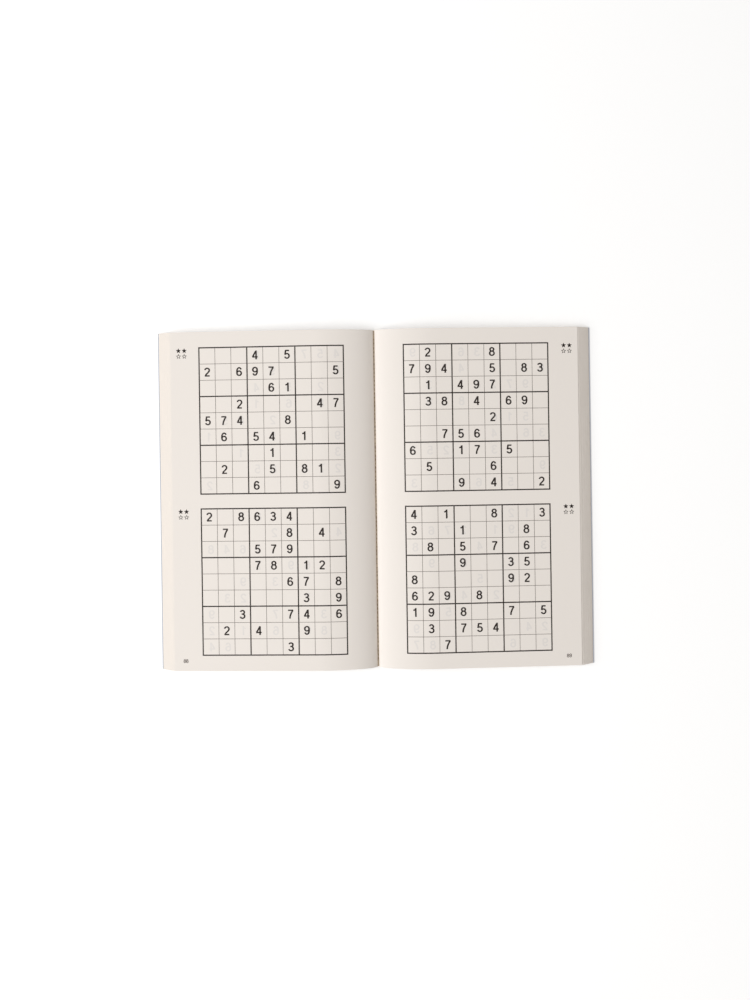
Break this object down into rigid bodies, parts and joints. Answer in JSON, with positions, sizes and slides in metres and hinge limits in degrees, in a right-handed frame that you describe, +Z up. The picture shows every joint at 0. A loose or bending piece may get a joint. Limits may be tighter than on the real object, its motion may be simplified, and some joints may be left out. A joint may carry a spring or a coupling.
{
  "type": "sudoku puzzle book",
  "caption": "Paperback puzzle book lying open at its middle: arched leaves glued into a card cover, halves that fold up to close and top leaves that turn over.",
  "frame": {"origin": "on the table under the middle of the open book, at the centre of the spine", "axes": "+X across the spread to the right page, +Y along the spine to the head of the pages, +Z up from the table"},
  "size_m": [0.2616, 0.2032, 0.01],
  "materials": {
    "page_paper": "uncoated off-white book paper",
    "cover_card": "smooth pale blue-grey card",
    "binding_glue": "amber hot-melt glue"
  },
  "bodies": {
    "spine": {"cover_spine": "cover_card", "spine_glue": "binding_glue", "signature_01_bend": "page_paper", "signature_02_bend": "page_paper", "signature_03_bend": "page_paper", "signature_04_bend": "page_paper", "signature_05_bend": "page_paper", "centre_leaves_left_bend": "page_paper", "top_leaf_left_bend": "page_paper", "signature_11_bend": "page_paper", "signature_10_bend": "page_paper", "signature_09_bend": "page_paper", "signature_08_bend": "page_paper", "signature_07_bend": "page_paper", "centre_leaves_right_bend": "page_paper", "top_leaf_right_bend": "page_paper"},
    "front_cover": {"front_cover": "cover_card", "hinge_glue_left": "binding_glue"},
    "back_cover": {"back_cover": "cover_card", "hinge_glue_right": "binding_glue"},
    "signature_01": {"signature_01_panel": "page_paper"},
    "signature_02": {"signature_02_panel": "page_paper"},
    "signature_03": {"signature_03_panel": "page_paper"},
    "signature_04": {"signature_04_panel": "page_paper"},
    "signature_05": {"signature_05_panel": "page_paper"},
    "centre_leaves_left": {"centre_leaves_left_panel": "page_paper"},
    "top_leaf_left": {"top_leaf_left_panel": "page_paper"},
    "signature_11": {"signature_11_panel": "page_paper"},
    "signature_10": {"signature_10_panel": "page_paper"},
    "signature_09": {"signature_09_panel": "page_paper"},
    "signature_08": {"signature_08_panel": "page_paper"},
    "signature_07": {"signature_07_panel": "page_paper"},
    "centre_leaves_right": {"centre_leaves_right_panel": "page_paper"},
    "top_leaf_right": {"top_leaf_right_panel": "page_paper"}
  },
  "joints": [
    {"name": "front_cover_fold", "type": "hinge", "parent": "spine", "child": "front_cover", "pos_m": [-0.00537, 0, 0.0003], "axis": [0, 1, 0], "range_deg": [0, 90]},
    {"name": "signature_01_turn", "type": "hinge", "parent": "spine", "child": "signature_01", "pos_m": [-0.0055, 0, 0.00097], "axis": [0, 1, 0], "range_deg": [0, 90.44], "deforming": ["signature_01_bend"]},
    {"name": "signature_02_turn", "type": "hinge", "parent": "spine", "child": "signature_02", "pos_m": [-0.00536, 0, 0.00207], "axis": [0, 1, 0], "range_deg": [0, 90.88], "deforming": ["signature_02_bend"]},
    {"name": "signature_03_turn", "type": "hinge", "parent": "spine", "child": "signature_03", "pos_m": [-0.00513, 0, 0.00326], "axis": [0, 1, 0], "range_deg": [0, 91.33], "deforming": ["signature_03_bend"]},
    {"name": "signature_04_turn", "type": "hinge", "parent": "spine", "child": "signature_04", "pos_m": [-0.00485, 0, 0.00452], "axis": [0, 1, 0], "range_deg": [0, 91.79], "deforming": ["signature_04_bend"]},
    {"name": "signature_05_turn", "type": "hinge", "parent": "spine", "child": "signature_05", "pos_m": [-0.00452, 0, 0.00583], "axis": [0, 1, 0], "range_deg": [0, 92.25], "deforming": ["signature_05_bend"]},
    {"name": "centre_leaves_left_turn", "type": "hinge", "parent": "spine", "child": "centre_leaves_left", "pos_m": [-0.00416, 0, 0.00719], "axis": [0, 1, 0], "range_deg": [0, 92.73], "deforming": ["centre_leaves_left_bend"]},
    {"name": "top_leaf_left_turn", "type": "hinge", "parent": "centre_leaves_left", "child": "top_leaf_left", "pos_m": [-0.00001, 0, 0.01165], "axis": [0, -1, 0], "range_deg": [-185.44, 0], "deforming": ["top_leaf_left_bend"]},
    {"name": "back_cover_fold", "type": "hinge", "parent": "spine", "child": "back_cover", "pos_m": [0.00537, 0, 0.0003], "axis": [0, -1, 0], "range_deg": [0, 90]},
    {"name": "signature_11_turn", "type": "hinge", "parent": "spine", "child": "signature_11", "pos_m": [0.0055, 0, 0.00097], "axis": [0, -1, 0], "range_deg": [0, 90.44], "deforming": ["signature_11_bend"]},
    {"name": "signature_10_turn", "type": "hinge", "parent": "spine", "child": "signature_10", "pos_m": [0.00536, 0, 0.00207], "axis": [0, -1, 0], "range_deg": [0, 90.88], "deforming": ["signature_10_bend"]},
    {"name": "signature_09_turn", "type": "hinge", "parent": "spine", "child": "signature_09", "pos_m": [0.00513, 0, 0.00326], "axis": [0, -1, 0], "range_deg": [0, 91.33], "deforming": ["signature_09_bend"]},
    {"name": "signature_08_turn", "type": "hinge", "parent": "spine", "child": "signature_08", "pos_m": [0.00485, 0, 0.00452], "axis": [0, -1, 0], "range_deg": [0, 91.79], "deforming": ["signature_08_bend"]},
    {"name": "signature_07_turn", "type": "hinge", "parent": "spine", "child": "signature_07", "pos_m": [0.00452, 0, 0.00583], "axis": [0, -1, 0], "range_deg": [0, 92.25], "deforming": ["signature_07_bend"]},
    {"name": "centre_leaves_right_turn", "type": "hinge", "parent": "spine", "child": "centre_leaves_right", "pos_m": [0.00416, 0, 0.00719], "axis": [0, -1, 0], "range_deg": [0, 92.73], "deforming": ["centre_leaves_right_bend"]},
    {"name": "top_leaf_right_turn", "type": "hinge", "parent": "centre_leaves_right", "child": "top_leaf_right", "pos_m": [0.00001, 0, 0.01165], "axis": [0, 1, 0], "range_deg": [-185.44, 0], "deforming": ["top_leaf_right_bend"]}
  ],
  "couplings": [
    {"joint": "signature_01_turn", "follows": "front_cover_fold", "ratio": 1.0047},
    {"joint": "signature_02_turn", "follows": "front_cover_fold", "ratio": 1.0097},
    {"joint": "signature_03_turn", "follows": "front_cover_fold", "ratio": 1.0147},
    {"joint": "signature_04_turn", "follows": "front_cover_fold", "ratio": 1.0198},
    {"joint": "signature_05_turn", "follows": "front_cover_fold", "ratio": 1.0249},
    {"joint": "centre_leaves_left_turn", "follows": "front_cover_fold", "ratio": 1.0302},
    {"joint": "signature_11_turn", "follows": "back_cover_fold", "ratio": 1.0047},
    {"joint": "signature_10_turn", "follows": "back_cover_fold", "ratio": 1.0097},
    {"joint": "signature_09_turn", "follows": "back_cover_fold", "ratio": 1.0147},
    {"joint": "signature_08_turn", "follows": "back_cover_fold", "ratio": 1.0198},
    {"joint": "signature_07_turn", "follows": "back_cover_fold", "ratio": 1.0249},
    {"joint": "centre_leaves_right_turn", "follows": "back_cover_fold", "ratio": 1.0302}
  ]
}
